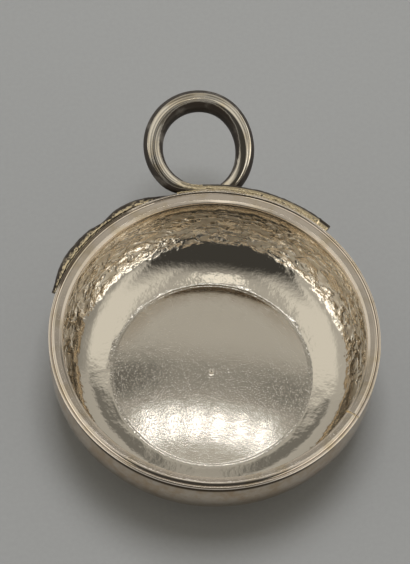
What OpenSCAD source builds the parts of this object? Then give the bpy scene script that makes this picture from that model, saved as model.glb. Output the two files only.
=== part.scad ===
// Wine-taster's cup: a raised silver bowl with a moulded rim hoop and a coiled serpent handle.
// Millimetres. The cup stands on z = 0 with its axis on Z, and the finger ring is at +Y.
// Angles along the rim are counted from the ring, positive towards +X.

/* [Cup] */
// Outside diameter over the rim's reed
rim_d = 80; // [72:0.5:90]
// Height from the table to the flat of the rim
cup_h = 23.5; // [21:0.5:28]
// Thickness of the raised sheet
wall_t = 1; // [0.7:0.1:1.3]
// How far the belly stands out past the reed
belly_out = 0.1; // [0:0.05:0.5]
// Inside radius of the round corner between floor and belly
corner_r = 14; // [10:0.5:15]
// How far the wall leans in from the belly to its top edge
wall_lean = 1.4; // [0.8:0.1:1.8]
// How far the floor swells at its middle
floor_swell = 0.45; // [0.1:0.05:0.8]

/* [Rim hoop] */
// Width of the hoop's section
hoop_w = 3.4; // [2.8:0.1:4]
// Height of the hoop's section
hoop_h = 1.6; // [1.4:0.1:2.2]
// Radius of the reed along the outer edge
reed_r = 0.42; // [0.3:0.02:0.5]
// How far the reed's top lies below the flat
reed_drop = 0.2; // [0.1:0.05:0.3]
// Width of the rounded shoulder between the flat and the reed
shoulder_w = 0.82; // [0.5:0.02:1]
// Height of the lip's inner face
lip_h = 0.95; // [0.6:0.05:1.2]
// How far the lip's inner face leans in
lip_lean = 0.22; // [0:0.02:0.3]
// Where the hoop's two ends meet, in degrees along the rim
joint_at = 127; // [90:1:180]
// Gap between the hoop's two ends
joint_gap = 0.18; // [0.1:0.02:0.3]

/* [Finger ring] */
// Diameter of the finger hole
finger_hole_d = 18.2; // [15:0.1:20]
// Angle at which the ring rises from the rim
ring_rise = 22; // [12:1:38]
// Diameter of the rod at the far side of the ring
rod_top_d = 5.9; // [4.8:0.1:6.5]
// Diameter of the rod at the foot of each leg
rod_leg_d = 4.2; // [3.4:0.1:4.6]

/* [Straps] */
// Width of the straps, across the rim
strap_w = 2.1; // [1.4:0.05:2.4]
// Height of the straps
strap_h = 2.4; // [1.8:0.1:2.8]
// How far the straps' top lies below the flat of the rim
strap_drop = 0.4; // [0.2:0.05:0.8]
// Where the head ends, in degrees along the rim
head_end = 47.5; // [38:0.5:60]
// Length of the step at the head, in degrees
head_step = 4; // [2:0.5:6]
// Where the tail ends, in degrees along the rim
tail_end = 70; // [62:1:85]
// Length of the step at the tail's tip, in degrees
tail_step = 2.5; // [1.5:0.5:4]
// Where the tail is drawn in, in degrees along the rim
waist_at = 38; // [34:1:46]
// Share of the tail's width that is lost at its waist
waist_depth = 0.45; // [0.2:0.05:0.6]

/* [Solder] */
// Thickness of the solder between the rim and the straps
seam_t = 0.15; // [0.1:0.01:0.3]
// Thickness of the solder where the rod crosses under itself
cross_gap = 0.7; // [0.6:0.05:1]
// Size of the solder fillet under the hoop
fillet = 0.5; // [0.3:0.05:0.6]

/* [Hidden] */
$fn = 96;
silver = [0.80, 0.78, 0.74];
pale_silver = [0.86, 0.84, 0.80];
solder_gold = [0.74, 0.66, 0.48];
// Slack between a seam's face and the strap that it holds
seat = 0.02;
// Share of a strap's height that its seam stays below the strap's top
seam_low_share = 0.1;
// Length of the solder at the crossing, in degrees along the rim
cross_span = 6;

// Bowl: two tangent arcs a sheet's thickness apart, from the floor to the belly and from the belly to the mouth.
rim_r = rim_d / 2;
belly_r = rim_r + belly_out;
belly_z = wall_t + corner_r;
corner_x = belly_r - wall_t - corner_r;
wall_top = cup_h - hoop_h;
upper_rise = wall_top - belly_z;
upper_r = upper_rise / sin(2 * atan(wall_lean / upper_rise));
upper_x = belly_r - wall_t - upper_r;
arc_steps = 16;
floor_steps = 6;

// Radius of the upper wall's surface at height z, for an arc of radius r
function upper_at(r, z) = upper_x + sqrt(r * r - pow(z - belly_z, 2));
function arc_points(centre, r, from, to, steps) =
    [for (i = [0:steps]) let (a = from + (to - from) * i / steps) centre + r * [cos(a), sin(a)]];
function upper_arc(r) = arc_points([upper_x, belly_z], r, 0, asin(upper_rise / r), arc_steps);
function reversed(list) = [for (i = [len(list) - 1:-1:0]) list[i]];

bowl_outside = concat(
    [[0, 0]],
    arc_points([corner_x, belly_z], corner_r + wall_t, -90, 0, arc_steps),
    upper_arc(upper_r + wall_t));
bowl_inside = concat(
    [for (i = [0:floor_steps - 1])
        let (share = i / floor_steps)
        [corner_x * share, wall_t + floor_swell * (1 - share * share)]],
    arc_points([corner_x, belly_z], corner_r, -90, 0, arc_steps),
    upper_arc(upper_r));

// Rim hoop: flat, rounded shoulder, groove, reed, foot, underside and leaning lip, with z counted from the flat.
reed_steps = 14;
shoulder_steps = 6;
groove_angle = 150;
reed_end_angle = -100;
foot_share = 0.8;
hoop_in_r = rim_r - hoop_w;
reed_c = [rim_r - reed_r, -reed_drop - reed_r];
groove = reed_c + reed_r * [cos(groove_angle), sin(groove_angle)];
shoulder_r = (shoulder_w * shoulder_w + groove[1] * groove[1]) / (-2 * groove[1]);
shoulder_c = [groove[0] - shoulder_w, -shoulder_r];
foot_r = reed_c[0] - foot_share * reed_r;
hoop_outline = concat(
    [[hoop_in_r, 0]],
    arc_points(shoulder_c, shoulder_r, 90, acos(shoulder_w / shoulder_r), shoulder_steps),
    arc_points(reed_c, reed_r, groove_angle, reed_end_angle, reed_steps),
    [[foot_r, -hoop_h],
     [hoop_in_r - lip_lean + hoop_h - lip_h, -hoop_h],
     [hoop_in_r - lip_lean, -lip_h]]);
joint_angle = 2 * asin(joint_gap / (2 * rim_r));

// Handle: one rod along the tail strap, round the finger ring and back along the head strap.
rod_sides = 20;
flat_share = 0.35;
strap_in_r = max(rim_r, belly_r) + seam_t;
strap_z = cup_h - strap_drop - strap_h / 2;
cross_drop = strap_h + cross_gap;
dip_from = 26;
dip_to = 10;
waist_len = 4;
taper_len = 14;
tip_share = 0.4;
step_share = 0.2;
step_face = 0.1;
strap_out = strap_w * (1 - flat_share);
finger_r = finger_hole_d / 2;
ring_up = [0, cos(ring_rise), sin(ring_rise)];
ring_normal = [0, -sin(ring_rise), cos(ring_rise)];
ring_c = [0, strap_in_r + strap_w * flat_share, strap_z] + (finger_r + strap_out) * ring_up;
leg_swell = 50;
leg_round = 85;
leg_climb = 110;

function ease(t) = let (c = min(max(t, 0), 1)) c * c * (3 - 2 * c);
function mix(a, b, t) = a + (b - a) * t;
function unit(v) = v / norm(v);

// A station holds a point, how far the rod has turned into the ring's plane, and the section's reach:
// away from the bowl, towards the bowl, up and down.
function strap_station(angle, width, height, top, z) =
    let (r = strap_in_r + width * flat_share)
    [[r * sin(angle), r * cos(angle), z], 0, width * (1 - flat_share), width * flat_share, height / 2 * top, height / 2];

function taper(angle) = mix(tip_share, 1, ease((angle + tail_end) / taper_len));
function tail_width(angle) = strap_w * taper(angle) * (1 - waist_depth * exp(-pow((angle + waist_at) / waist_len, 2)));
function tail_z(angle) = strap_z - cross_drop * ease((angle + dip_from) / (dip_from - dip_to));
function tail_station(angle, top) =
    strap_station(angle, tail_width(angle), strap_h * taper(angle), top, tail_z(angle));
function head_station(angle, top) = strap_station(angle, strap_w, strap_h, top, strap_z);

// Round the ring, turn is 0 at the foot of the right leg and 360 at the foot of the left one.
function ring_station(turn) =
    let (side = turn < 180 ? turn : 360 - turn)
    let (rod_r = mix(rod_leg_d, rod_top_d, (1 - cos(side)) / 2) / 2)
    let (out = mix(strap_out, rod_r, ease(side / leg_swell)))
    let (towards = mix(strap_w * flat_share, rod_r, ease(side / leg_swell)))
    let (half_h = mix(strap_h / 2, rod_r, ease(side / leg_round)))
    let (drop = turn < 180 ? cross_drop * (1 - ease((turn - leg_swell) / leg_climb)) : 0)
    let (point = ring_c + (finger_r + out) * (sin(turn) * [1, 0, 0] - cos(turn) * ring_up) - [0, 0, drop])
    [point, ease(side / leg_swell), out, towards, half_h, half_h];

tail_count = 30;
ring_count = 40;
head_count = 16;
tail_tip = tail_end - tail_step;
head_top = head_end - head_step;
stations = concat(
    [for (angle = [-tail_end, -tail_tip - step_face]) tail_station(angle, step_share)],
    [for (i = [0:tail_count - 1]) tail_station(-tail_tip * (1 - i / tail_count), 1)],
    [for (i = [0:ring_count]) ring_station(360 * i / ring_count)],
    [for (i = [1:head_count]) head_station(head_top * i / head_count, 1)],
    [for (angle = [head_top + step_face, head_end]) head_station(angle, step_share)]);

function section(i) =
    let (s = stations[i], last = len(stations) - 1)
    let (along = unit(stations[min(i + 1, last)][0] - stations[max(i - 1, 0)][0]))
    let (side = unit(cross(along, mix([0, 0, 1], ring_normal, s[1]))))
    let (up = cross(side, along))
    [for (k = [0:rod_sides - 1])
        let (c = cos(360 * k / rod_sides), d = sin(360 * k / rod_sides))
        s[0] + min(c * s[2], s[3]) * side + (d > 0 ? d * s[4] : d * s[5]) * up];

module rod() {
    rings = len(stations);
    first_ring = 0;
    last_ring = (rings - 1) * rod_sides;
    first_centre = rings * rod_sides;
    last_centre = first_centre + 1;
    points = concat([for (i = [0:rings - 1]) each section(i)], [stations[0][0], stations[rings - 1][0]]);
    ends = [for (k = [0:rod_sides - 1])
        let (next = (k + 1) % rod_sides)
        each [[first_centre, first_ring + next, first_ring + k], [last_centre, last_ring + k, last_ring + next]]];
    sides = [for (i = [0:rings - 2], k = [0:rod_sides - 1])
        let (a = i * rod_sides + k, b = i * rod_sides + (k + 1) % rod_sides)
        each [[a, b, b + rod_sides], [a, b + rod_sides, a + rod_sides]]];
    polyhedron(points, concat(ends, sides));
}

module bowl_section() {
    polygon(concat(bowl_outside, reversed(bowl_inside)));
}

module hoop_section() {
    translate([0, cup_h]) polygon(hoop_outline);
}

// Turns a section from one angle along the rim to another, both counted from the ring towards +X.
module along_rim(from, to) {
    rotate([0, 0, 90 - to]) rotate_extrude(angle = to - from) children();
}

module bowl() {
    color(silver) rotate_extrude() bowl_section();
}

module rim_hoop() {
    color(pale_silver)
        along_rim(joint_at + joint_angle / 2 - 360, joint_at - joint_angle / 2) hoop_section();
}

module hoop_joint_solder() {
    color(solder_gold) along_rim(joint_at - joint_angle / 2, joint_at + joint_angle / 2) hoop_section();
}

// A fillet of solder on each side of the wall, under the hoop.
module rim_solder() {
    outer = upper_at(upper_r + wall_t, wall_top);
    inner = upper_at(upper_r, wall_top);
    color(solder_gold) rotate_extrude() difference() {
        union() {
            polygon([[outer - fillet / 2, wall_top], [outer + fillet, wall_top],
                     [upper_at(upper_r + wall_t, wall_top - fillet), wall_top - fillet]]);
            polygon([[inner + fillet / 2, wall_top], [inner - fillet, wall_top],
                     [upper_at(upper_r, wall_top - fillet), wall_top - fillet]]);
        }
        bowl_section();
    }
}

module serpent_handle() {
    color(silver) rod();
}

// Fills the hollow between the reed and the flat back of a strap.
module seam_section() {
    low = cup_h - hoop_h;
    high = cup_h - strap_drop - strap_h * seam_low_share;
    difference() {
        translate([reed_c[0], low]) square([strap_in_r - seat - reed_c[0], high - low]);
        hoop_section();
    }
}

module head_solder() {
    color(solder_gold) along_rim(0, head_top) seam_section();
}

module tail_solder() {
    color(solder_gold) along_rim(-tail_tip + taper_len / 2, -dip_from) seam_section();
}

// Between the two strands where the rod crosses under itself.
module crossing_solder() {
    low = strap_z - cross_drop + strap_h / 2;
    high = strap_z - strap_h / 2;
    width = strap_w / 2;
    color(solder_gold) along_rim(-cross_span, 0)
        translate([strap_in_r + strap_w * flat_share - width / 2, low + seat])
            square([width, high - low - 2 * seat]);
}

bowl();
rim_hoop();
rim_solder();
hoop_joint_solder();
serpent_handle();
head_solder();
tail_solder();
crossing_solder();
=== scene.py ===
import math
from collections import namedtuple

import bpy
import numpy as np
from mathutils import Matrix, Vector


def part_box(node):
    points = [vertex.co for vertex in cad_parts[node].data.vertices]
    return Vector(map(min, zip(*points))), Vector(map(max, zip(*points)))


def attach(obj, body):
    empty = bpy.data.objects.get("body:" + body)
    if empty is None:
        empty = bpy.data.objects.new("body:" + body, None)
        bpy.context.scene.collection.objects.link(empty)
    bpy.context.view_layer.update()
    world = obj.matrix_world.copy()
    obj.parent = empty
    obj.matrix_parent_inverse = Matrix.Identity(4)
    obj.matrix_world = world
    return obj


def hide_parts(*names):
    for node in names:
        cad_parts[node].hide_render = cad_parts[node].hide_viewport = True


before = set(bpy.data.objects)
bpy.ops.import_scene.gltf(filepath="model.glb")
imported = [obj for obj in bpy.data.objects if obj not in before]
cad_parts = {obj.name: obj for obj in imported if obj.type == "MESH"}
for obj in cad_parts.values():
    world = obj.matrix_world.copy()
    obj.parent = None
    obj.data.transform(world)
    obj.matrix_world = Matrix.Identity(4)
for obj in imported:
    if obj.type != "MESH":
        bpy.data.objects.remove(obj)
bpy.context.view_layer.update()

# Sizes of the bowl in millimetres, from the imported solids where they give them
MM = 0.001
RIM_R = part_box("rim_hoop")[1].x / MM
CUP_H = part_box("rim_hoop")[1].z / MM
BELLY_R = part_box("bowl")[1].x / MM
WALL_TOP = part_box("bowl")[1].z / MM
WALL_T = 1.0
CORNER_R = 14.0
WALL_LEAN = 1.4
FLOOR_SWELL = 0.45
BELLY_Z = WALL_T + CORNER_R
CORNER_X = BELLY_R - WALL_T - CORNER_R
UPPER_RISE = WALL_TOP - BELLY_Z
UPPER_R = UPPER_RISE / math.sin(2 * math.atan(WALL_LEAN / UPPER_RISE))
UPPER_X = BELLY_R - WALL_T - UPPER_R

# Sizes of the rim hoop, with its slopes and its joint's place round the rim in degrees
HOOP_W = 3.4
HOOP_H = CUP_H - WALL_TOP
REED_R = 0.42
REED_DROP = 0.2
SHOULDER_W = 0.82
LIP_H = 0.95
LIP_LEAN = 0.22
LIP_ROUND = 0.25
LIP_EASE = 0.15
LIP_CHAMFER = 0.45
LIP_DIP = 16.5
LIP_FACE = 20.0
FLAT_SLOPE = 1.5
OFF_CENTRE = 0.45
JOINT_AT = 127.0
JOINT_GAP = 0.18

# Sizes of the handle, with its ring's rise and its places along the rim in degrees
FINGER_R = 9.1
RING_RISE = 22.0
ROD_TOP_D = 5.9
ROD_LEG_D = 4.2
STRAP_W = 2.1
STRAP_H = 2.4
STRAP_DROP = 0.4
SEAM_T = 0.15
CROSS_GAP = 0.7
HEAD_SEAM_FROM = -9.0
HEAD_END = 47.5
HEAD_STEP = 4.0
TAIL_END = 70.0
TAIL_STEP = 2.5
DIP_FROM = 26.0
DIP_TO = 10.0
WAIST_AT = 38.0
WAIST_LEN = 4.0
WAIST_DEPTH = 0.45
TAPER_LEN = 14.0
FLAT_SHARE = 0.35

# Camera, as fitted to the photograph's frame of 410 by 564 pixels
IMAGE_W = 410
IMAGE_H = 564
CAMERA_TURN = 9.5
CAMERA_ELEVATION = 63.43
CAMERA_ROLL = 5.44
CAMERA_DISTANCE = 431.5
FOCAL_PX = 1800
RIM_CENTRE_PX = (215.2, 332.7)
SENSOR_MM = 36.0


def unit(angle):
    """Cosine and sine of an angle in degrees."""
    return math.cos(math.radians(angle)), math.sin(math.radians(angle))


turn_cos, turn_sin = unit(CAMERA_TURN)
AWAY = Vector((turn_sin, turn_cos, 0))
RIGHT = Vector((turn_cos, -turn_sin, 0))
UP = Vector((0, 0, 1))


# Shapes

# Noise over a surface: its cells along u and v, the seed of its draws and its depth
Layer = namedtuple("Layer", "cells_u cells_v seed depth")

# Where in its cell a blow of the hammer may fall
BLOW_PLACE = (0.1, 0.9)


def ease(t):
    """Smooth step from 0 to 1, flat at both ends."""
    c = np.clip(t, 0, 1)
    return c * c * (3 - 2 * c)


def mix(a, b, t):
    """From a to b by the share t."""
    return a + (b - a) * t


def cell_place(u, v, layer):
    """Place in a layer's lattice, in cells, and the column and row of the cell it lies in."""
    x = u * layer.cells_u
    y = np.clip(v, 0, 1) * layer.cells_v
    return x, y, np.floor(x).astype(int), np.floor(y).astype(int)


def layer_noise(u, v, layer):
    """Smooth noise up and down by a layer's depth, over u and v from 0 to 1, which meets itself round u."""
    table = np.random.default_rng(layer.seed).uniform(-1, 1, (layer.cells_v + 2, layer.cells_u))
    x, y, col, row = cell_place(u, v, layer)
    tx = ease(x - col)
    ty = ease(y - row)
    here = col % layer.cells_u
    there = (col + 1) % layer.cells_u
    low = mix(table[row, here], table[row, there], tx)
    high = mix(table[row + 1, here], table[row + 1, there], tx)
    return layer.depth * mix(low, high, ty)


def noise(u, v, *layers):
    """Sum of the noises of one or more layers."""
    return sum(layer_noise(u, v, layer) for layer in layers)


def hammer_marks(u, v, layer):
    """Dishes left by a hammer: the squared distance, in cells, to the nearest of the blows."""
    shift = np.random.default_rng(layer.seed).uniform(*BLOW_PLACE, (2, layer.cells_v + 3, layer.cells_u))
    x, y, col, row = cell_place(u, v, layer)
    best = np.full(x.shape, np.inf)
    for step_row in (-1, 0, 1):
        for step_col in (-1, 0, 1):
            near_row = row + step_row
            near_col = col + step_col
            dx = near_col + shift[0, near_row + 1, near_col % layer.cells_u] - x
            dy = near_row + shift[1, near_row + 1, near_col % layer.cells_u] - y
            best = np.minimum(best, dx * dx + dy * dy)
    return best


def arc(centre, radius, start, end, steps):
    """Points of an arc in the plane of a section, as (radius, height)."""
    angles = np.radians(np.linspace(start, end, steps + 1))
    return np.stack([centre[0] + radius * np.cos(angles), centre[1] + radius * np.sin(angles)], -1)


def arc_from(start, radius, first, last, steps):
    """Points of an arc that begins at a given point, between two angles in degrees."""
    c, s = unit(first)
    return arc((start[0] - radius * c, start[1] - radius * s), radius, first, last, steps)


def section_normals(section):
    """Unit normals along an open section, to the left of its direction of travel."""
    along = np.gradient(section, axis=0)
    along /= np.linalg.norm(along, axis=1, keepdims=True)
    return np.stack([-along[:, 1], along[:, 0]], -1)


def turned(radius, height, angle):
    """Points round the cup's axis, by radius, height and angle in radians."""
    return np.stack(np.broadcast_arrays(radius * np.cos(angle), radius * np.sin(angle), height), -1)


def grid_faces(rows, cols):
    """Quads of a grid of points that closes round its columns."""
    row = np.arange(rows - 1)[:, None] * cols
    col = np.arange(cols)[None, :]
    next_row = row + cols
    next_col = (col + 1) % cols
    corners = (row + col, row + next_col, next_row + next_col, next_row + col)
    return np.stack(np.broadcast_arrays(*corners), -1).reshape(-1, 4)


def fan_faces(centre, ring, flip):
    """Triangles from a centre point to a closed ring of points."""
    after = np.roll(ring, -1)
    middle = np.full(len(ring), centre)
    return np.stack([middle, after, ring] if flip else [middle, ring, after], -1)


def add_piece(name, replaced, slot, material, rings, ends, **values):
    """A smooth closed mesh in the part's frame, through rings of points in millimetres and two end points.

    Each of the values is a pair of named numbers: those at the rings' points and those at the two ends.
    """
    count, sides = rings.shape[:2]
    total = count * sides
    points = np.concatenate([rings.reshape(-1, 3), ends])
    ring = np.arange(sides)
    faces = [
        grid_faces(count, sides),
        fan_faces(total, ring, flip=True),
        fan_faces(total + 1, ring + total - sides, flip=False),
    ]
    mesh = bpy.data.meshes.new(name)
    mesh.from_pydata((points * MM).tolist(), [], [face.tolist() for group in faces for face in group])
    mesh.validate()
    mesh.shade_smooth()
    for label, (at_rings, at_ends) in values.items():
        layer = mesh.attributes.new(label, "FLOAT", "POINT")
        layer.data.foreach_set("value", np.concatenate([at_rings.ravel(), at_ends]).astype(np.float32))
    piece = bpy.data.objects.new(name, mesh)
    bpy.context.scene.collection.objects.link(piece)
    mesh.materials.append(material)
    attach(piece, "root")
    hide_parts(replaced)


# Bowl: hammered wall, domed floor with the maker's centre point, and a smooth outside

BOWL_TURNS = 800
WALL_STEPS = 84
UPPER_STEPS = 22
OUTSIDE_STEPS = 40
UNDER_FROM = 0.6
UNDER_RINGS = 24

# The crease between the floor and its border, and the point in the middle of the floor
CREASE_OUT = 0.1
EDGE_R = CORNER_X + CREASE_OUT
EDGE_RISE = 0.01
EDGE_WIDTH = 0.22
EDGE_INSIDE = 0.45
EDGE_SOFT = 0.03
CREASE_SLOPE = 8.0
JOIN_SLOPE = 13.0
JOIN_R = CORNER_X + CORNER_R * unit(JOIN_SLOPE)[1]
JOIN_Z = BELLY_Z - CORNER_R * unit(JOIN_SLOPE)[0]
POINT_R = 0.55
POINT_DEPTH = 0.2
POINT_STEEP = 1.5
POINT_LIP = 0.03
POINT_LIP_STEEP = 2.5

# Rings of the floor, from the border over the crease and the plain floor to the point
BORDER_STEP = 0.2
BORDER_TO = 0.7
BORDER_FADE = 1.5
CREASE_STEP = 0.05
CREASE_FROM = 0.65
CREASE_TO = 1.2
PLAIN_STEP = 0.45
PLAIN_FROM = 1.4
PLAIN_TO = 1.6
POINT_STEP = 0.09
POINT_FROM = 1.5
POINT_TO = 0.05

# Hammer marks and ripples of the inside, by steepness and by length below the mouth, and hollows outside
SMOOTH_TOP = 5.0
SMOOTH_FADE = 4.0
WORKED_FROM = 0.28
WORKED_FADE = 0.3
GENTLE_FADE = 0.12
HAMMER = Layer(64, 22, 3, 0.07)
HAMMER_MIDDLE = 0.3
WORKED_LAYERS = (Layer(40, 44, 4, 0.035), Layer(110, 60, 5, 0.035), Layer(200, 100, 9, 0.02))
GENTLE_LAYERS = (Layer(22, 9, 7, 0.05), Layer(60, 20, 8, 0.03))
HOLLOWS = Layer(30, 10, 11, 0.02)
SEAT_CLEAR = 0.3
SEAT_FADE = 3.0
TOP_FADE = 2.0


def floor_height(r):
    """Height of the domed floor and of the sloping border that meets it in a crease."""
    first = math.tan(math.radians(CREASE_SLOPE))
    last = math.tan(math.radians(JOIN_SLOPE))
    width = JOIN_R - EDGE_R
    edge_z = JOIN_Z - (first + last) / 2 * width
    outside = np.maximum(r - EDGE_R, 0)
    border = edge_z + first * (r - EDGE_R) + (last - first) / (2 * width) * outside ** 2
    dome = edge_z + FLOOR_SWELL * (1 - (r / EDGE_R) ** 2)
    dome = (dome + border) / 2 + np.sqrt(((dome - border) / 2) ** 2 + EDGE_SOFT ** 2)
    edge = EDGE_RISE * np.exp(-((r - EDGE_R + EDGE_INSIDE) / EDGE_WIDTH) ** 2)
    pit = POINT_DEPTH * np.exp(-(r / POINT_R * POINT_STEEP) ** 2)
    lip = POINT_LIP * np.exp(-((r - POINT_R) / POINT_R * POINT_LIP_STEEP) ** 2)
    return dome + edge - pit + lip


def bowl_inside():
    """Section of the inside from the mouth down to the floor's middle, and its slope in right angles."""
    upper_end = math.degrees(math.asin(UPPER_RISE / UPPER_R))
    upper = arc((UPPER_X, BELLY_Z), UPPER_R, upper_end, 0, UPPER_STEPS)
    corner = arc((CORNER_X, BELLY_Z), CORNER_R, 0, JOIN_SLOPE - 90, WALL_STEPS)
    border = np.arange(JOIN_R - BORDER_STEP, EDGE_R + BORDER_TO, -BORDER_STEP)
    crease = np.arange(EDGE_R + CREASE_FROM, EDGE_R - CREASE_TO, -CREASE_STEP)
    plain = np.arange(EDGE_R - PLAIN_FROM, PLAIN_TO, -PLAIN_STEP)
    middle = np.arange(POINT_FROM, POINT_TO, -POINT_STEP)
    radii = np.concatenate([border, crease, plain, middle])
    floor = np.stack([radii, floor_height(radii)], -1)
    section = np.concatenate([upper, corner[1:], floor])
    wall = np.linspace(1, JOIN_SLOPE / 90, WALL_STEPS + 1)[1:]
    low = JOIN_SLOPE / 90 * ease((radii - EDGE_R) / BORDER_FADE)
    steepness = np.concatenate([np.ones(len(upper)), wall, low])
    return section, steepness


def bowl_outside():
    """Section of the outside from the middle of the underside up to the mouth."""
    upper_end = math.degrees(math.asin(UPPER_RISE / (UPPER_R + WALL_T)))
    radii = np.linspace(UNDER_FROM, CORNER_X, UNDER_RINGS)
    under = np.stack([radii, np.zeros(len(radii))], -1)
    corner = arc((CORNER_X, BELLY_Z), CORNER_R + WALL_T, -90, 0, OUTSIDE_STEPS)
    upper = arc((UPPER_X, BELLY_Z), UPPER_R + WALL_T, 0, upper_end, UPPER_STEPS)
    return np.concatenate([under, corner[1:], upper[1:]])


def inside_relief(inside, steepness, around):
    """How far the hammer's marks and the ripples move the inside along its normals."""
    length = np.concatenate([[0], np.cumsum(np.linalg.norm(np.diff(inside, axis=0), axis=1))])
    u, v = np.meshgrid(around, length / length[-1])
    below_rim = ease((length - SMOOTH_TOP) / SMOOTH_FADE)[:, None]
    worked = ease((steepness - WORKED_FROM) / WORKED_FADE)[:, None] * below_rim
    gentle = ease(steepness / GENTLE_FADE)[:, None] * below_rim
    dishes = HAMMER.depth * (hammer_marks(u, v, HAMMER) - HAMMER_MIDDLE)
    relief = worked * (dishes + noise(u, v, *WORKED_LAYERS)) + gentle * noise(u, v, *GENTLE_LAYERS)
    relief[0] = 0
    return relief


def outside_hollows(outside, around):
    """Faint hollows of the outside, clear of the seat and of the mouth."""
    u, v = np.meshgrid(around, np.linspace(0, 1, len(outside)))
    height = outside[:, 1:]
    clear = ease((height - SEAT_CLEAR) / SEAT_FADE) * ease((WALL_TOP - height) / TOP_FADE)
    return -(HOLLOWS.depth + noise(u, v, HOLLOWS)) * clear


def make_bowl(material):
    inside, steepness = bowl_inside()
    outside = bowl_outside()
    section = np.concatenate([outside, inside])
    normals = -np.concatenate([section_normals(outside), section_normals(inside)])
    around = np.arange(BOWL_TURNS) / BOWL_TURNS
    shift = np.concatenate([outside_hollows(outside, around), inside_relief(inside, steepness, around)])
    radius = section[:, :1] + normals[:, :1] * shift
    height = section[:, 1:] + normals[:, 1:] * shift
    rings = turned(radius, height, 2 * math.pi * around)
    ends = [[0, 0, 0], [0, 0, floor_height(0.0)]]
    inner = np.repeat([0.0, 1.0], [len(outside) * BOWL_TURNS, len(inside) * BOWL_TURNS])
    add_piece("bowl_shell", "bowl", "bowl_silver", material, rings, ends, inner=(inner, (0, 1)))


# Rim hoop: one moulded strip whose ends meet at the joint

HOOP_TURNS = 720
FLAT_STEPS = 10
LIP_EASE_STEPS = 8
LIP_ROUND_STEPS = 10
SHOULDER_STEPS = 10
REED_STEPS = 22
GROOVE_ANGLE = 150.0
REED_END = -100.0
REED_TUCK = 0.8
BEVEL_OUT = 0.12
BEVEL_DROP = 0.1
BEVEL_TOP = 0.06
HOOP_WAVES = Layer(26, 2, 21, 0.02)
HOOP_RIPPLES = Layer(60, 3, 22, 0.008)
SEAT_RISE = 0.5

# Tarnish in the groove, and painted shade of the gap beside the tail in the groove and on the reed
GROOVE_WIDTH = 0.13
GROOVE_FADE = 0.1
GROOVE_STAIN = 0.35
TAIL_GROOVE_SHADE = 0.6
HEAD_STAIN = 0.3
TAIL_REED_SHADE = 0.85
STAIN_AND_SHADE_FADE = 4.0


def hoop_section():
    """Closed section of the hoop from the lip over the flat, with the flat's outer radius and the groove."""
    reed_c = (RIM_R - REED_R, CUP_H - REED_DROP - REED_R)
    reed = arc(reed_c, REED_R, GROOVE_ANGLE, REED_END, REED_STEPS)
    groove = reed[0]
    drop = CUP_H - groove[1]
    shoulder_r = (SHOULDER_W ** 2 + drop ** 2) / (2 * drop)
    shoulder_c = (groove[0] - SHOULDER_W, CUP_H - shoulder_r)
    shoulder_end = math.degrees(math.acos(SHOULDER_W / shoulder_r))
    shoulder = arc(shoulder_c, shoulder_r, 90, shoulder_end, SHOULDER_STEPS)
    inner = RIM_R - HOOP_W
    flat_from = inner + LIP_ROUND * (1 - unit(LIP_DIP)[1]) + LIP_CHAMFER + LIP_EASE
    flat_r = np.linspace(flat_from, shoulder_c[0], FLAT_STEPS + 1)[:-1]
    flat = np.stack([flat_r, CUP_H - (shoulder_c[0] - flat_r) * math.tan(math.radians(FLAT_SLOPE))], -1)
    ease_r = LIP_EASE / (unit(LIP_DIP)[1] - unit(FLAT_SLOPE)[1])
    eased = arc_from(flat[0], ease_r, 90 + FLAT_SLOPE, 90 + LIP_DIP, LIP_EASE_STEPS)
    chamfer_end = eased[-1] - LIP_CHAMFER * np.array([1, math.tan(math.radians(LIP_DIP))])
    edge = arc_from(chamfer_end, LIP_ROUND, 90 + LIP_DIP, 180 - LIP_FACE, LIP_ROUND_STEPS)
    lip = np.concatenate([edge[::-1], eased[:0:-1]])
    lip_low = inner - LIP_LEAN
    under = np.array([
        [reed_c[0] - REED_TUCK * REED_R, WALL_TOP],
        [lip_low + HOOP_H - LIP_H, WALL_TOP],
        [lip_low + BEVEL_OUT, CUP_H - LIP_H - BEVEL_DROP],
        [lip_low, CUP_H - LIP_H + BEVEL_TOP],
    ])
    return np.concatenate([lip, flat, shoulder, reed, under]), shoulder_c[0], groove


def hoop_stain_and_shade(section, groove, angles):
    """Tarnish in the groove, darker beside the head strap, and painted shade of the tail's gap in the groove
    and on the reed beside the tail.
    """
    past_tail_end = ease((angles - 360 + TAIL_END) / STAIN_AND_SHADE_FADE)
    beside_tail = past_tail_end * ease((360 - DIP_FROM - angles) / STAIN_AND_SHADE_FADE)
    beside_head = ease((angles - 360 - HEAD_SEAM_FROM) / STAIN_AND_SHADE_FADE)
    beside_head = beside_head + ease((HEAD_END + 360 - angles) / STAIN_AND_SHADE_FADE) * (angles > 360)
    # Beside the tail, the groove's extra dark is painted shade of the gap
    groove_stain_and_shade = GROOVE_STAIN + TAIL_GROOVE_SHADE * beside_tail + HEAD_STAIN * np.clip(beside_head, 0, 1)
    from_groove = np.linalg.norm(section - groove, axis=1)[:, None]
    past_groove = ease((section[:, :1] - groove[0]) / GROOVE_FADE)
    in_groove = np.exp(-(from_groove / GROOVE_WIDTH) ** 2) * groove_stain_and_shade
    # On the reed beside the tail: painted shade of the gap
    return np.maximum(in_groove, past_groove * TAIL_REED_SHADE * beside_tail)


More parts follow.
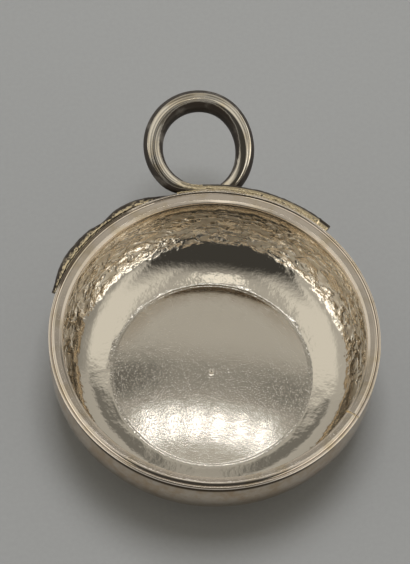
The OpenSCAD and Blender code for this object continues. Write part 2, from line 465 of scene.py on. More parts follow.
def make_hoop(material):
    section, flat_end, groove = hoop_section()
    half_gap = math.degrees(JOINT_GAP / 2 / RIM_R)
    angles = np.linspace(JOINT_AT + half_gap, JOINT_AT + 360 - half_gap, HOOP_TURNS)
    u, v = np.meshgrid((angles - angles[0]) / 360, np.linspace(0, 1, len(section)))
    highest = HOOP_WAVES.depth + HOOP_RIPPLES.depth
    wobble = noise(u, v * 0, HOOP_WAVES) + noise(u, v, HOOP_RIPPLES) - highest
    normals = section_normals(np.concatenate([section[-1:], section, section[:1]]))[1:-1]
    seated = ease((section[:, 1:] - WALL_TOP) / SEAT_RISE)
    radius = section[:, :1] + normals[:, :1] * wobble * seated
    height = section[:, 1:] + normals[:, 1:] * wobble * seated
    reach = np.clip((flat_end - section[:, :1]) / (flat_end - RIM_R + HOOP_W), 0, 1)
    radius = radius - OFF_CENTRE * reach * np.cos(np.radians(angles))
    rings = turned(radius, height, np.radians(90 - angles)).transpose(1, 0, 2)
    ends = rings[[0, -1]].mean(axis=1)
    # The stain attribute holds the groove's tarnish and the painted shade of the tail's gap
    stain = hoop_stain_and_shade(section, groove, angles).T
    add_piece("rim_hoop_moulded", "rim_hoop", "rim_silver", material, rings, ends, stain=(stain, (0, 0)))


# Handle: one rod along the tail, round the finger ring and back along the head

# One section of the rod: its middle, its share of the ring, its four reaches, its dark sides and its turn
Station = namedtuple("Station", "point swell out towards above below dark_from dark_to turn")
ROD_SIDES = 120
TAIL_TIP_STATIONS = 5
TAIL_STATIONS = 150
RING_STATIONS = 220
HEAD_STATIONS = 100
HEAD_TIP_STATIONS = 8
STRAP_IN_R = max(RIM_R, BELLY_R) + SEAM_T
STRAP_Z = CUP_H - STRAP_DROP - STRAP_H / 2
CROSS_DROP = STRAP_H + CROSS_GAP
STRAP_OUT = STRAP_W * (1 - FLAT_SHARE)
STRAP_TOWARDS = STRAP_W * FLAT_SHARE
TIP_SHARE = 0.4
STEP_SHARE = 0.2
STEP_FACE = 0.1
LEG_SWELL = 50.0
LEG_ROUND = 85.0
LEG_CLIMB = 110.0
rise_cos, rise_sin = unit(RING_RISE)
RING_UP = np.array([0, rise_cos, rise_sin])
RING_NORMAL = np.array([0, -rise_sin, rise_cos])
RING_C = np.array([0, STRAP_IN_R + STRAP_TOWARDS, STRAP_Z]) + (FINGER_R + STRAP_OUT) * RING_UP

# Lumps of the straps, and the ring's worn section, facets and lines, which run between two turns
STRAP_SHRINK = 0.05
STRAP_LUMPS = (Layer(7, 130, 31, 0.05), Layer(12, 300, 32, 0.03))
DRIFT = Layer(3, 9, 33, 1.0)
RING_OVAL = 0.05
RING_WEAR = 0.05
RING_GRAIN = Layer(5, 60, 34, 0.003)
RING_FACETS = 9
FACET_DEPTH = 0.010
FACET_DRIFT = 0.4
RING_LINES = ((73.7, 40, 320), (92.3, 150, 330), (108.7, 230, 330))
LINE_DEPTH = 0.04
LINE_WIDTH = 3.5
LINE_FADE = 12.0
LINE_DRIFT = 2.0
LINE_DIRT = 0.7

# Dark sides of the rod, by limits of the cosine round it: dirt under the first, by the finger, and over the
# second painted shade in the tail's gap and a painted dark reflection along the ring's outer edge
HEAD_DARK = -0.2
TAIL_DARK = 0.2
TAIL_GAP = 0.42
NO_DARK = 2.0
RING_DARK = -0.08
SIDE_DARK = -0.62
LEG_DARK = 0.35
CROWN_DARK = 0.58
CROWN_FROM = 50.0
CROWN_FADE = 50.0
TAIL_DARK_ENDS = 0.26
TAIL_DARK_FADE = 0.02
FRAY = Layer(24, 420, 35, 1.0)
FRAY_TAIL = 0.55
FRAY_REST = 0.03
FRAY_FAR = 0.4
NEAR_SOFT = 0.18
FAR_SOFT = 0.1
END_DARK = 0.5


def strap_station(angle, width, height, top, z):
    """The strap at an angle along the rim, with its upper half cut down to the share top."""
    r = STRAP_IN_R + width * FLAT_SHARE
    c, s = unit(angle)
    return Station(
        point=np.array([r * s, r * c, z]),
        swell=0,
        out=width * (1 - FLAT_SHARE),
        towards=width * FLAT_SHARE,
        above=height / 2 * top,
        below=height / 2,
        dark_from=TAIL_DARK if angle < 0 else HEAD_DARK,
        # Past the dip, the tail's side against the bowl takes painted shade of the gap
        dark_to=TAIL_GAP if angle < -DIP_FROM else NO_DARK,
        turn=0,
    )


def tail_station(angle, top):
    """The tail strap, which tapers to its tip, is drawn in at its waist and dips under the head."""
    taper = mix(TIP_SHARE, 1, ease((angle + TAIL_END) / TAPER_LEN))
    waist = 1 - WAIST_DEPTH * math.exp(-((angle + WAIST_AT) / WAIST_LEN) ** 2)
    z = STRAP_Z - CROSS_DROP * ease((angle + DIP_FROM) / (DIP_FROM - DIP_TO))
    return strap_station(angle, STRAP_W * taper * waist, STRAP_H * taper, top, z)


def head_station(angle, top):
    """The head strap, which keeps its width."""
    return strap_station(angle, STRAP_W, STRAP_H, top, STRAP_Z)


def ring_station(turn):
    """The ring at a turn from its foot: the strap swells to a round rod, and the first leg climbs."""
    side = min(turn, 360 - turn)
    c, s = unit(turn)
    rod_r = mix(ROD_LEG_D, ROD_TOP_D, (1 - unit(side)[0]) / 2) / 2
    swell = ease(side / LEG_SWELL)
    out = mix(STRAP_OUT, rod_r, swell)
    half_h = mix(STRAP_H / 2, rod_r, ease(side / LEG_ROUND))
    drop = CROSS_DROP * (1 - ease((turn - LEG_SWELL) / LEG_CLIMB)) if turn < 180 else 0
    radial = s * np.array([1, 0, 0]) - c * RING_UP
    crown = ((1 - c) / 2) ** 2
    return Station(
        point=RING_C + (FINGER_R + out) * radial - np.array([0, 0, drop]),
        swell=swell,
        out=out,
        towards=mix(STRAP_TOWARDS, rod_r, swell),
        above=half_h,
        below=half_h,
        dark_from=mix(SIDE_DARK, RING_DARK, crown),
        # Over dark_to, the ring's outer edge takes a painted dark reflection
        dark_to=mix(LEG_DARK, CROWN_DARK, ease((side - CROWN_FROM) / CROWN_FADE)),
        turn=turn,
    )


def handle_stations():
    """Stations from the tail's tip round the ring to the head's end, with a step at each end."""
    tail_top = TAIL_END - TAIL_STEP
    head_top = HEAD_END - HEAD_STEP
    tail_tip = np.linspace(-TAIL_END, -tail_top - STEP_FACE, TAIL_TIP_STATIONS)
    tail = np.linspace(-tail_top, 0, TAIL_STATIONS)[:-1]
    head = np.linspace(0, head_top, HEAD_STATIONS)[1:]
    head_tip = np.linspace(head_top + STEP_FACE, HEAD_END, HEAD_TIP_STATIONS)
    return [
        *(tail_station(angle, STEP_SHARE) for angle in tail_tip),
        *(tail_station(angle, 1) for angle in tail),
        *(ring_station(turn) for turn in np.linspace(0, 360, RING_STATIONS)),
        *(head_station(angle, 1) for angle in head),
        *(head_station(angle, STEP_SHARE) for angle in head_tip),
    ]


def ring_lines(phase, turn, drift):
    """Worn lines along the ring, from 0 to 1."""
    lines = np.zeros(drift.shape)
    for at, first, last in RING_LINES:
        run = ease((turn - first) / LINE_FADE) * ease((last - turn) / LINE_FADE)
        away = np.degrees(phase) - at - LINE_DRIFT * drift
        lines = np.maximum(lines, run * np.exp(-(away / LINE_WIDTH) ** 2))
    return lines


def make_handle(material):
    stations = handle_stations()
    centres = np.array([station.point for station in stations])
    numbers = np.array([station[1:] for station in stations], dtype=float).T[..., None]
    swell, out, towards, above, below, dark_from, dark_to, turn = numbers
    along = np.gradient(centres, axis=0)
    along /= np.linalg.norm(along, axis=1, keepdims=True)
    upright = mix(np.array([[0, 0, 1.0]]), RING_NORMAL[None, :], swell)
    side = np.cross(along, upright)
    side /= np.linalg.norm(side, axis=1, keepdims=True)
    up = np.cross(side, along)
    phase = np.linspace(0, 2 * math.pi, ROD_SIDES, endpoint=False)
    c = np.cos(phase)
    d = np.sin(phase)
    u, v = np.meshgrid(phase / (2 * math.pi), np.linspace(0, 1, len(stations)))
    drift = noise(u * 0, v, DRIFT)
    facets = FACET_DEPTH * np.sin(RING_FACETS * phase + FACET_DRIFT * drift) + noise(u, v, RING_GRAIN)
    worn = RING_WEAR - (facets - RING_OVAL * np.sin(2 * phase))
    lumps = STRAP_SHRINK - noise(u, v, *STRAP_LUMPS)
    lines = ring_lines(phase, turn, drift)
    scale = 1 - (1 - swell) * lumps - swell * worn - LINE_DEPTH / above * lines
    across = np.minimum(c * out, towards) * scale
    tall = np.where(d > 0, d * above, d * below) * scale
    rings = centres[:, None, :] + across[..., None] * side[:, None, :] + tall[..., None] * up[:, None, :]
    near_tail = ease((TAIL_DARK_ENDS - v) / TAIL_DARK_FADE)
    fray = mix(FRAY_REST, FRAY_TAIL, near_tail) * noise(u, v, FRAY)
    near_dirt = ease((dark_from - c + fray) / NEAR_SOFT)
    # Painted shade in the tail's gap and painted dark reflection on the ring's outer edge, over dark_to
    far_painted_shade = ease((c + fray * FRAY_FAR - dark_to) / FAR_SOFT)
    flank = np.maximum(np.maximum(near_dirt, far_painted_shade), LINE_DIRT * lines)
    strap = np.broadcast_to(1 - swell, flank.shape)
    add_piece("serpent_rod", "serpent_handle", "handle_silver", material, rings, centres[[0, -1]],
              flank=(flank, (END_DARK, END_DARK)), strap=(strap, (1, 1)))


# Solder: lumpy seams between the rim and the straps, and at the crossing

SEAM_SIDES = 14
SEAM_STEP = 0.22
SEAM_CROWN = 0.6
SEAM_UNDER_REED = 0.6
SEAM_OUT = 0.4
SEAM_DROP = 0.2
SEAM_LUMP = 0.05
COARSE_LUMPS = 5
FINE_LUMPS = 7
COARSE_RUN = 3
FINE_RUN = 2
TAIL_SINK = 0.45
CROSS_FROM = -7.0
CROSS_TO = 0.5
CROSS_SINK = 0.1
CROSS_LUMP = 0.03
HEAD_SEED = 41
TAIL_SEED = 43
CROSS_SEED = 45


def make_seam(name, node, start, end, inner, outer, low, high, lump, seed, material):
    """A run of solder along the rim between two angles, with an uneven, pitted top."""
    count = int((end - start) / SEAM_STEP)
    angles = np.linspace(start, end, count)[:, None]
    phase = np.linspace(0, 2 * math.pi, SEAM_SIDES, endpoint=False)
    u, v = np.meshgrid(phase / (2 * math.pi), np.linspace(0, 1, count))
    coarse = Layer(COARSE_LUMPS, count // COARSE_RUN, seed, lump)
    fine = Layer(FINE_LUMPS, count // FINE_RUN, seed + 1, lump)
    lumps = noise(u, v, coarse, fine) - (coarse.depth + fine.depth)
    rise = np.sign(np.sin(phase)) * np.abs(np.sin(phase)) ** SEAM_CROWN
    r = (inner + outer) / 2 + (outer - inner) / 2 * np.cos(phase)
    z = (low + high) / 2 + (high - low) / 2 * rise + lumps * (rise > 0)
    rings = turned(r, z, np.radians(90 - angles))
    add_piece(name, node, "solder", material, rings, rings[[0, -1]].mean(axis=1))


def make_solder(material):
    rim = {
        "inner": RIM_R - SEAM_UNDER_REED * REED_R,
        "outer": STRAP_IN_R + SEAM_OUT,
        "low": WALL_TOP,
        "lump": SEAM_LUMP,
        "material": material,
    }
    high = CUP_H - REED_DROP - SEAM_DROP
    head_top = HEAD_END - HEAD_STEP
    tail_from = -TAIL_END + TAIL_STEP + TAPER_LEN / 2
    make_seam("head_seam", "head_solder", HEAD_SEAM_FROM, head_top, high=high, seed=HEAD_SEED, **rim)
    make_seam("tail_seam", "tail_solder", tail_from, -DIP_FROM, high=high - TAIL_SINK, seed=TAIL_SEED, **rim)
    crossing = {
        "inner": STRAP_IN_R,
        "outer": STRAP_IN_R + STRAP_OUT,
        "low": STRAP_Z - CROSS_DROP + STRAP_H / 2 - CROSS_SINK,
        "high": STRAP_Z - STRAP_H / 2 + CROSS_SINK,
        "lump": CROSS_LUMP,
        "material": material,
    }
    make_seam("crossing_seam", "crossing_solder", CROSS_FROM, CROSS_TO, seed=CROSS_SEED, **crossing)
    for name in ("rim_solder", "hoop_joint_solder"):
        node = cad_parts[name]
        node.data.materials.clear()
        node.data.materials.append(material)


# Materials

class Graph:
    """Short ways to add nodes to a node tree and join them."""

    def __init__(self, tree):
        self.tree = tree
        self.tree.nodes.clear()

    def add(self, kind, inputs=None, **settings):
        node = self.tree.nodes.new(kind)
        for key, value in settings.items():
            setattr(node, key, value)
        for key, value in (inputs or {}).items():
            socket = node.inputs[key]
            if isinstance(value, bpy.types.NodeSocket):
                self.tree.links.new(value, socket)
            else:
                socket.default_value = value
        return node

    def attribute(self, name):
        return self.add("ShaderNodeAttribute", attribute_name=name).outputs["Fac"]

    def math(self, operation, a, b=0.0):
        return self.add("ShaderNodeMath", {0: a, 1: b}, operation=operation).outputs[0]

    def times(self, first, *others):
        for value in others:
            first = self.math("MULTIPLY", first, value)
        return first

    def plus(self, first, *others):
        for value in others:
            first = self.math("ADD", first, value)
        return first

    def smooth(self, value, low, high, to_low=0.0, to_high=1.0):
        inputs = {"Value": value, "From Min": low, "From Max": high, "To Min": to_low, "To Max": to_high}
        return self.add("ShaderNodeMapRange", inputs, interpolation_type="SMOOTHSTEP").outputs["Result"]

    def within(self, *limits):
        """Product of smooth steps, each given by its value and the two ends of the step."""
        return self.times(*[self.smooth(value, *ends) for value, ends in limits])

    def level(self, share, a, b):
        return self.add("ShaderNodeMix", {0: share, 2: a, 3: b}).outputs[0]

    def blend(self, share, a, b):
        return self.add("ShaderNodeMix", {0: share, 6: a, 7: b}, data_type="RGBA").outputs[2]

    def dot(self, vector, direction):
        node = self.add("ShaderNodeVectorMath", {0: vector, 1: direction}, operation="DOT_PRODUCT")
        return node.outputs["Value"]

    def combine(self, x, y):
        return self.add("ShaderNodeCombineXYZ", {"X": x, "Y": y}).outputs[0]

    def noise(self, vector, scale, detail=2.0, roughness=0.5, distortion=0.0):
        inputs = {"Vector": vector, "Scale": scale, "Detail": detail}
        inputs.update({"Roughness": roughness, "Distortion": distortion})
        return self.add("ShaderNodeTexNoise", inputs).outputs["Fac"]

    def cells(self, vector, smoothness):
        """Dishes of about one unit: the distance to the nearest of scattered points."""
        inputs = {"Vector": vector, "Scale": 1.0, "Smoothness": smoothness}
        return self.add("ShaderNodeTexVoronoi", inputs, feature="SMOOTH_F1").outputs["Distance"]

    def stretched(self, vector, scales, turn=0.0):
        inputs = {"Vector": vector, "Rotation": (0, 0, math.radians(turn)), "Scale": scales}
        return self.add("ShaderNodeMapping", inputs).outputs[0]


CLEAN = (0.91, 0.845, 0.75, 1)
SATIN = (0.90, 0.80, 0.70, 1)
STRAW = (0.80, 0.68, 0.52, 1)
DULL = (0.60, 0.53, 0.44, 1)
WARM = (0.85, 0.74, 0.58, 1)
BROWN = (0.48, 0.37, 0.25, 1)
GOLD = (0.84, 0.70, 0.46, 1)
DARK = (0.08, 0.06, 0.04, 1)
# Dark of the handle's dirt and of its painted shade
SOOT_AND_SHADE = (0.03, 0.022, 0.016, 1)


def mm(*sizes):
    """Sizes in millimetres as the metres that the nodes read."""
    return tuple(size * MM for size in sizes)


def new_material(name):
    material = bpy.data.materials.new(name)
    material.use_nodes = True
    graph = Graph(material.node_tree)
    place = graph.add("ShaderNodeTexCoord").outputs["Object"]
    return material, graph, place


def close_material(graph, colour, roughness, relief, metallic=1.0):
    """Metal with the given colour and roughness, and a relief in millimetres."""
    bump = graph.add("ShaderNodeBump", {"Height": relief, "Distance": MM}).outputs[0]
    inputs = {"Base Color": colour, "Roughness": roughness, "Metallic": metallic, "Normal": bump}
    shader = graph.add("ShaderNodeBsdfPrincipled", inputs)
    graph.add("ShaderNodeOutputMaterial", {"Surface": shader.outputs[0]})


SCRATCH_LENGTH = 4.0
SCRATCH_LIMITS = (0.66, 0.78)


def scratches(graph, place, turns, width):
    """Fine lines in several directions, as a height from 0 to 1."""
    length, width = mm(SCRATCH_LENGTH, width)
    total = None
    for turn in turns:
        vector = graph.stretched(place, (1 / length, 1 / width, 1 / length), turn)
        line = graph.smooth(graph.noise(vector, scale=1.0, detail=1.0), *SCRATCH_LIMITS)
        total = line if total is None else graph.math("MAXIMUM", total, line)
    return total


# Bowl's zones in millimetres, its noises by scale, detail, roughness and distortion, and their limits
FLOOR_FADE = 0.8
WALL_FROM = (2.5, 6)
BAND_FROM = (3.5, 6.5)
BAND_TO = (16, 12)
CLOUD = (140.0, 3.0)
MOTTLE = (520.0, 3.0, 0.6)
FINE = (2600.0, 2.0, 0.6)
SPECKLE = (3000.0, 2.0, 0.6)
DOTS = (2600.0, 1.0)
WAVER = (350.0, 1.0)
BEATEN = (1000.0, 2.0)
THREADS = (1.0, 2.0, 0.6, 0.8)
THREAD_SCALES = (210, 750, 1)
BLOW_SCALES = (380, 760, 1)
BLOW_SMOOTHNESS = 0.25
FLECK_LIMITS = (0.46, 0.58)
PIT_LIMITS = (0.62, 0.70)
FROST_LIMITS = (0.40, 0.70)
DOT_LIMITS = (0.60, 0.70)

# Tarnish of the wall and the outside, painted reflection on the floor's far edge, and painted shade under
# the reed
STAIN_FROM = (4, 13)
STAIN_LIMITS = (0.75, 1.2)
STAIN_BY_FLECKS = (1, 0.8)
STAIN_SHARE = 0.65
FAR_SIDE = (4, 16)
FAR_EDGE = (19, 24)
FAR_REFLECTION_LIMITS = (0.7, 1.1)
FAR_REFLECTION_SHARES = (0.2, 0.4)
OUTSIDE_LIMITS = (0.7, 1.3)
UNDER_REED = 19.7
UNDER_REED_FADE = 0.6

# Roughness and relief of the bowl, with the relief in millimetres
SATIN_BY_FLECKS = (0.07, 0.42)
POLISH_LIMITS = (0.3, 0.75)
POLISH = (0.04, 0.07)
PIT_ROUGHNESS = 0.14
GRAIN_RELIEF = 0.002
WAVER_RELIEF = 0.008
BAND_RELIEF = 0.14
BORDER_RELIEF = 0.04
BOWL_SCRATCH_TURNS = (28, 75, 140)
BOWL_SCRATCH_WIDTH = 0.16
BOWL_SCRATCH_RELIEF = 0.0003
FROST_RELIEF = 0.0012
DOT_RELIEF = 0.006


def bowl_material():
    material, graph, place = new_material("hammered_silver")
    inner = graph.attribute("inner")
    x, y, height = graph.add("ShaderNodeSeparateXYZ", {"Vector": place}).outputs
    radius = graph.add("ShaderNodeVectorMath", {0: graph.combine(x, y)}, operation="LENGTH").outputs["Value"]
    around = graph.times(graph.math("ARCTAN2", x, y), BELLY_R * MM)
    unrolled = graph.combine(around, height)
    floor = graph.times(graph.smooth(radius, *mm(CORNER_X, CORNER_X - FLOOR_FADE)), inner)
    wall = graph.times(graph.smooth(height, *mm(*WALL_FROM)), inner)
    band = graph.times(graph.within((height, mm(*BAND_FROM)), (height, mm(*BAND_TO))), inner)

    mottle = graph.noise(place, *MOTTLE)
    patches = graph.plus(graph.noise(place, *CLOUD), mottle)
    threads = graph.noise(graph.stretched(unrolled, THREAD_SCALES), *THREADS)
    flecks = graph.times(graph.smooth(threads, *FLECK_LIMITS), band)
    speckle = graph.noise(place, *SPECKLE)

    stain = graph.within((height, mm(*STAIN_FROM)), (patches, STAIN_LIMITS))
    stain = graph.times(stain, graph.smooth(flecks, 0, 1, *STAIN_BY_FLECKS), STAIN_SHARE)
    inside = graph.blend(stain, CLEAN, WARM)
    # Painted reflection: brown on the far side of the floor's edge, standing for the brown upper wall
    # mirrored there
    far_edge = graph.within((radius, mm(*FAR_EDGE)), (y, mm(*FAR_SIDE)))
    far_edge_reflection = graph.times(far_edge, floor, graph.smooth(patches, *FAR_REFLECTION_LIMITS, *FAR_REFLECTION_SHARES))
    inside = graph.blend(far_edge_reflection, inside, BROWN)
    outside = graph.blend(graph.smooth(patches, *OUTSIDE_LIMITS), DULL, BROWN)
    # Painted shade: a dark band at the top of the outside, where the reed overhangs the wall
    painted_shade_under_reed = graph.smooth(height, *mm(UNDER_REED, UNDER_REED + UNDER_REED_FADE))
    outside = graph.blend(painted_shade_under_reed, outside, DARK)
    colour = graph.blend(inner, outside, inside)

    satin = graph.times(wall, graph.smooth(flecks, 0, 1, *SATIN_BY_FLECKS))
    polish = graph.smooth(mottle, *POLISH_LIMITS, *POLISH)
    pits = graph.times(graph.smooth(speckle, *PIT_LIMITS), floor)
    roughness = graph.plus(graph.math("MAXIMUM", polish, satin), graph.times(pits, PIT_ROUGHNESS))

    blows = graph.cells(graph.stretched(unrolled, BLOW_SCALES), BLOW_SMOOTHNESS)
    beaten = graph.plus(graph.noise(place, *BEATEN), graph.times(blows, wall), graph.times(flecks, wall))
    beaten_depth = graph.plus(graph.times(band, BAND_RELIEF), graph.smooth(floor, 0, 1, BORDER_RELIEF, 0))
    lines = scratches(graph, place, BOWL_SCRATCH_TURNS, BOWL_SCRATCH_WIDTH)
    waver = graph.times(graph.noise(place, *WAVER), graph.times(floor, WAVER_RELIEF))
    frosted = graph.times(graph.smooth(speckle, *FROST_LIMITS), floor)
    dots = graph.times(graph.smooth(graph.noise(place, *DOTS), *DOT_LIMITS), floor)
    relief = graph.plus(
        graph.times(graph.noise(place, *FINE), GRAIN_RELIEF),
        graph.times(beaten, beaten_depth),
        graph.times(lines, BOWL_SCRATCH_RELIEF),
        waver,
        graph.times(frosted, FROST_RELIEF),
        graph.times(dots, DOT_RELIEF),
    )
    close_material(graph, colour, roughness, relief)
    return material


# Rim's finish
RIM_CLOUD = (200.0, 3.0)
RIM_FINE = (2600.0, 3.0, 0.65)
RIM_STRAW_LIMITS = (0.45, 0.75)
RIM_FINE_LIMITS = (0.3, 0.7)
RIM_ROUGHNESS = (0.07, 0.11)
RIM_GRAIN_RELIEF = 0.003
RIM_SCRATCH_TURNS = (30, 95, 160)
RIM_SCRATCH_WIDTH = 0.12
RIM_SCRATCH_RELIEF = 0.0006


def rim_material():
    material, graph, place = new_material("satin_silver")
    fine = graph.noise(place, *RIM_FINE)
    colour = graph.blend(graph.smooth(graph.noise(place, *RIM_CLOUD), *RIM_STRAW_LIMITS), SATIN, STRAW)
    # The stain attribute darkens with tarnish in the groove and with painted shade of the tail's gap
    colour = graph.blend(graph.attribute("stain"), colour, DARK)
    roughness = graph.smooth(fine, *RIM_FINE_LIMITS, *RIM_ROUGHNESS)
    lines = scratches(graph, place, RIM_SCRATCH_TURNS, RIM_SCRATCH_WIDTH)
    relief = graph.plus(graph.times(fine, RIM_GRAIN_RELIEF), graph.times(lines, RIM_SCRATCH_RELIEF))
    close_material(graph, colour, roughness, relief)
    return material


# Handle's noises and their limits
HANDLE_CLOUD = (260.0, 3.0)
HANDLE_PITS = (900.0, 3.0, 0.6)
HANDLE_FINE = (3000.0, 2.0, 0.6)
HANDLE_WARM_LIMITS = (0.42, 0.7)
STRAP_PIT_LIMITS = (0.58, 0.68)
FLANK_LIMITS = (0.2, 0.5)
FLANK_DIRT_AND_SHADE = (0.85, 1.0)

# Handle's finish: roughness and pits from the ring to the straps, and metal from clean to the dark of dirt
# and painted shade
STRAP_GOLD = 0.8
HANDLE_ROUGHNESS = (0.10, 0.22)
HANDLE_PIT_RELIEF = (0.004, 0.05)
HANDLE_GRAIN_RELIEF = 0.003
DIRT_AND_SHADE_ROUGHNESS = 0.45
DIRT_AND_SHADE_METALLIC = (1.0, 0.15)


def handle_material():
    material, graph, place = new_material("worn_silver")
    strap = graph.attribute("strap")
    cloud = graph.noise(place, *HANDLE_CLOUD)
    pits = graph.noise(place, *HANDLE_PITS)
    warm = graph.math("MAXIMUM", graph.smooth(cloud, *HANDLE_WARM_LIMITS), strap)
    colour = graph.blend(warm, CLEAN, WARM)
    colour = graph.blend(graph.times(strap, STRAP_GOLD), colour, GOLD)
    pit_dirt = graph.times(strap, graph.smooth(pits, *STRAP_PIT_LIMITS))
    # Flank: dirt on the ring's inner side, painted shade in the tail's gap and a painted dark reflection on
    # the ring's outer edge
    flank_dirt_and_shade = graph.times(graph.attribute("flank"), graph.smooth(cloud, *FLANK_LIMITS, *FLANK_DIRT_AND_SHADE))
    dirt_and_shade = graph.math("MAXIMUM", pit_dirt, flank_dirt_and_shade)
    colour = graph.blend(dirt_and_shade, colour, SOOT_AND_SHADE)
    clean = graph.smooth(strap, 0, 1, *HANDLE_ROUGHNESS)
    roughness = graph.math("MAXIMUM", clean, graph.times(dirt_and_shade, DIRT_AND_SHADE_ROUGHNESS))
    metallic = graph.smooth(dirt_and_shade, 0, 1, *DIRT_AND_SHADE_METALLIC)
    pit_relief = graph.times(pits, graph.smooth(strap, 0, 1, *HANDLE_PIT_RELIEF))
    relief = graph.plus(pit_relief, graph.times(graph.noise(place, *HANDLE_FINE), HANDLE_GRAIN_RELIEF))
    close_material(graph, colour, roughness, relief, metallic)
    return material


# Solder's finish
SOLDER_PITS = (1400.0, 3.0, 0.6)
SOLDER_CLOUD = (500.0, 2.0)
SOLDER_WARM_LIMITS = (0.35, 0.65)
SOLDER_DARK_LIMITS = (0.6, 0.7)
SOLDER_PIT_LIMITS = (0.3, 0.7)
SOLDER_ROUGHNESS = (0.16, 0.3)
SOLDER_RELIEF = 0.05


def solder_material():
    material, graph, place = new_material("silver_solder")
    pits = graph.noise(place, *SOLDER_PITS)
    colour = graph.blend(graph.smooth(graph.noise(place, *SOLDER_CLOUD), *SOLDER_WARM_LIMITS), GOLD, WARM)
    colour = graph.blend(graph.smooth(pits, *SOLDER_DARK_LIMITS), colour, DARK)
    roughness = graph.smooth(pits, *SOLDER_PIT_LIMITS, *SOLDER_ROUGHNESS)
    close_material(graph, colour, roughness, graph.times(pits, SOLDER_RELIEF))
    return material


# Studio: a pale floor, a plain room with a dark side behind the camera, a row of lamps and a soft key

FLOOR_HALF = 4.0
FLOOR_GAP = 0.02
FLOOR_GREY = (0.345, 0.35, 0.355, 1)
FLOOR_SHADE = 0.96
FLOOR_GRAIN = (900.0, 2.0)
FLOOR_LIMITS = (0.2, 0.8)
FLOOR_ROUGHNESS = 0.9
LAMP_COUNT = 6
LAMP_AZIMUTH_STEP = 1.75
LAMP_ELEVATION = 69.2
LAMP_AWAY = 1.5
LAMP_SIZE = (0.015, 0.055)
LAMP_WATTS = 0.0105
LAMP_COLOUR = (0.92, 0.95, 0.98)
KEY_ELEVATION = 72.0
KEY_AWAY = 1.6
KEY_SIZE = 0.7
KEY_WATTS = 14.0

# Light of the room: its low parts and its height, two brighter lobes, and a dip and a gap behind the cup
ROOM_COLOUR = (1.0, 0.965, 0.86, 1)
ROOM = 0.40
LOW_BACK = 0.38
LOW_LEFT = 0.42
LOW_RIGHT = 0.26
HORIZON = 0.34
LOBE_GAIN = 0.25
DIP_MIDDLE = 0.06
DIP_SIDES = 0.24
GAP_LOSS = 0.17
GAP_LOSS_LEFT = 0.12
GAP_LOSS_RIGHT = 0.06

# Light of its dark side, its low side windows, its patch overhead and the bright strip over its floor
DARK_SIDE = 0.045
DARK_NARROWING = 0.35
WINDOWS = 1.9
OVERHEAD = 0.9
OVERHEAD_ELEVATION = 83.5
STRIP = 1.3
STRIP_FRONT = 0.5

# Edges of these areas, as pairs of parts of a direction: where the area begins and where it is full
STRAIGHT_BEHIND = (-0.48, -0.56)
LOW_TURN = (-0.1, 0.1)
LOW_TOP = (0.38, 0.72)
LOBE_SIDE = (0.14, 0.24)
LOBE_FOOT = (0.52, 0.70)
LOBE_TOP = (0.985, 0.96)
LOBE_BACK = (-0.50, -0.40)
DIP_FOOT = (0.60, 0.68)
DIP_TOP = (0.84, 0.77)
DIP_SIDE = (0.03, 0.16)
GAP_FOOT = (0.886, 0.903)
GAP_TOP = (0.925, 0.910)
GAP_BEHIND = (0.0, -0.2)
GAP_LEFT = (-0.04, -0.09)
GAP_RIGHT = (0.04, 0.09)
GAP_SIDE = (0.17, 0.12)
DARK_FACING = (-0.20, 0.34)
DARK_WIDTH = (0.70, 0.54)
DARK_FOOT = (0.1, 0.3)
WINDOW_SIDE = (0.50, 0.62)
WINDOW_FRONT = (-0.05, 0.15)
WINDOW_FOOT = (0.12, 0.22)
WINDOW_TOP = (0.46, 0.34)
OVERHEAD_EDGE = (0.9950, 0.9997)
STRIP_FOOT = (0.01, 0.04)
STRIP_TOP = (0.30, 0.22)
STRIP_TURN = (0.60, 0.95)
HORIZON_EDGE = (0.04, 0.01)


def make_floor():
    mesh = bpy.data.meshes.new("floor")
    corners = [(-FLOOR_HALF, -FLOOR_HALF, 0), (FLOOR_HALF, -FLOOR_HALF, 0), (FLOOR_HALF, FLOOR_HALF, 0),
               (-FLOOR_HALF, FLOOR_HALF, 0)]
    mesh.from_pydata(corners, [], [(0, 1, 2, 3)])
    floor = bpy.data.objects.new("floor", mesh)
    floor.location.z = -FLOOR_GAP * MM
    bpy.context.scene.collection.objects.link(floor)
    material, graph, place = new_material("pale_floor")
    shaded = tuple(FLOOR_SHADE * c for c in FLOOR_GREY[:3]) + (1,)
    colour = graph.blend(graph.smooth(graph.noise(place, *FLOOR_GRAIN), *FLOOR_LIMITS), FLOOR_GREY, shaded)
    shader = graph.add("ShaderNodeBsdfPrincipled", {"Base Color": colour, "Roughness": FLOOR_ROUGHNESS})
    graph.add("ShaderNodeOutputMaterial", {"Surface": shader.outputs[0]})
    mesh.materials.append(material)


def direction(azimuth, elevation):
    """Unit vector by azimuth from straight behind the cup as the camera sees it, and by elevation."""
    flat, high = unit(elevation)
    ahead, across = unit(azimuth)
    return flat * (ahead * AWAY + across * RIGHT) + high * UP


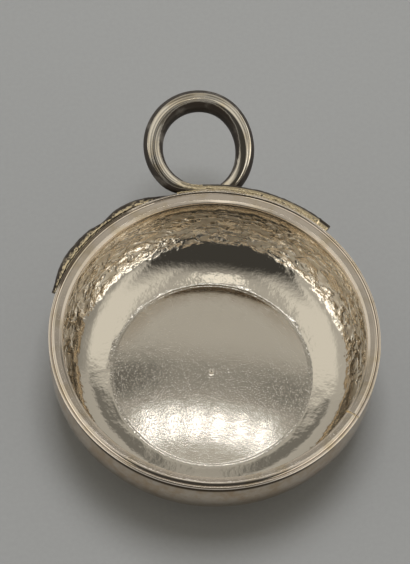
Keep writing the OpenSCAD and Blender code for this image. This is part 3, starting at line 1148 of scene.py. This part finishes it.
def plain_room(graph, high, front, across, side):
    """Strength of the plain room by the parts of a direction, before its dark side and its bright areas."""
    straight = graph.smooth(front, *STRAIGHT_BEHIND)
    low = graph.level(straight, graph.smooth(across, *LOW_TURN, LOW_LEFT, LOW_RIGHT), LOW_BACK)
    light = graph.level(graph.smooth(high, *LOW_TOP), low, ROOM)
    lobes = graph.within((side, LOBE_SIDE), (high, LOBE_FOOT), (high, LOBE_TOP), (front, LOBE_BACK))
    light = graph.plus(light, graph.times(lobes, LOBE_GAIN))
    dip = graph.within((high, DIP_FOOT), (high, DIP_TOP))
    dip = graph.times(dip, graph.smooth(side, *DIP_SIDE, DIP_MIDDLE, DIP_SIDES), straight)
    light = graph.math("SUBTRACT", light, dip)
    gap = graph.within((high, GAP_FOOT), (high, GAP_TOP), (front, GAP_BEHIND))
    loss = graph.smooth(across, *GAP_LEFT, GAP_LOSS, GAP_LOSS + GAP_LOSS_LEFT)
    loss = graph.plus(loss, graph.smooth(across, *GAP_RIGHT, 0, GAP_LOSS_RIGHT))
    loss = graph.times(loss, graph.smooth(side, *GAP_SIDE))
    return graph.math("SUBTRACT", light, graph.times(gap, loss))


def make_room():
    world = bpy.data.worlds.new("room")
    world.use_nodes = True
    bpy.context.scene.world = world
    graph = Graph(world.node_tree)
    way = graph.add("ShaderNodeTexCoord").outputs["Generated"]
    high = graph.dot(way, tuple(UP))
    front = graph.dot(way, tuple(-AWAY))
    across = graph.dot(way, tuple(RIGHT))
    side = graph.math("ABSOLUTE", across)
    light = plain_room(graph, high, front, across, side)
    facing = graph.math("SUBTRACT", front, graph.times(side, DARK_NARROWING))
    shade = graph.within((facing, DARK_FACING), (side, DARK_WIDTH), (high, DARK_FOOT))
    light = graph.level(shade, light, DARK_SIDE)
    beside = graph.within((side, WINDOW_SIDE), (front, WINDOW_FRONT))
    windows = graph.times(beside, graph.within((high, WINDOW_FOOT), (high, WINDOW_TOP)))
    light = graph.level(windows, light, WINDOWS)
    overhead = graph.smooth(graph.dot(way, tuple(direction(0, OVERHEAD_ELEVATION))), *OVERHEAD_EDGE)
    light = graph.level(overhead, light, OVERHEAD)
    strip = graph.within((high, STRIP_FOOT), (high, STRIP_TOP))
    light = graph.level(strip, light, graph.smooth(front, *STRIP_TURN, STRIP, STRIP_FRONT))
    light = graph.level(graph.smooth(high, *HORIZON_EDGE), light, HORIZON)
    background = graph.add("ShaderNodeBackground", {"Color": ROOM_COLOUR, "Strength": light})
    graph.add("ShaderNodeOutputWorld", {"Surface": background.outputs[0]})


def add_lamp(name, way, away, size_x, size_y, watts):
    """An area lamp that looks at the cup from the given direction."""
    data = bpy.data.lights.new(name, "AREA")
    data.shape = "RECTANGLE"
    data.size = size_x
    data.size_y = size_y
    data.energy = watts
    lamp = bpy.data.objects.new(name, data)
    lamp.location = way * away
    lamp.rotation_mode = "QUATERNION"
    lamp.rotation_quaternion = way.to_track_quat("Z", "Y")
    bpy.context.scene.collection.objects.link(lamp)
    return lamp


def make_lamps():
    flat = unit(LAMP_ELEVATION)[0]
    for k in range(LAMP_COUNT):
        azimuth = (k - (LAMP_COUNT - 1) / 2) * LAMP_AZIMUTH_STEP / flat
        lamp = add_lamp(f"lamp_{k}", direction(azimuth, LAMP_ELEVATION), LAMP_AWAY, *LAMP_SIZE, LAMP_WATTS)
        lamp.data.color = LAMP_COLOUR
    key = add_lamp("key", direction(0, KEY_ELEVATION), KEY_AWAY, KEY_SIZE, KEY_SIZE, KEY_WATTS)
    key.visible_glossy = False


def make_camera():
    """Stands where the photograph was taken from, and looks so that the rim's middle lands at its pixel."""
    flat, high = unit(CAMERA_ELEVATION)
    back = high * UP - flat * AWAY
    up = high * AWAY + flat * UP
    roll_cos, roll_sin = unit(CAMERA_ROLL)
    right = roll_cos * RIGHT + roll_sin * up
    up = roll_cos * up - roll_sin * RIGHT
    rim_centre = Vector((0, 0, CUP_H))
    eye = rim_centre + CAMERA_DISTANCE * back
    per_pixel = CAMERA_DISTANCE / FOCAL_PX
    left_by = (RIM_CENTRE_PX[0] - IMAGE_W / 2) * per_pixel
    up_by = (RIM_CENTRE_PX[1] - IMAGE_H / 2) * per_pixel
    aim = rim_centre - left_by * right + up_by * up
    back = (eye - aim).normalized()
    right = (right - right.dot(back) * back).normalized()
    up = back.cross(right)
    data = bpy.data.cameras.new("camera")
    data.sensor_fit = "AUTO"
    data.sensor_width = SENSOR_MM
    data.lens = SENSOR_MM * FOCAL_PX / IMAGE_H
    camera = bpy.data.objects.new("camera", data)
    camera.matrix_world = Matrix((right, up, back)).transposed().to_4x4()
    camera.location = eye * MM
    bpy.context.scene.collection.objects.link(camera)
    bpy.context.scene.camera = camera


make_camera()
make_bowl(bowl_material())
make_hoop(rim_material())
make_handle(handle_material())
make_solder(solder_material())
make_floor()
make_room()
make_lamps()
bpy.context.scene.view_settings.view_transform = "Standard"
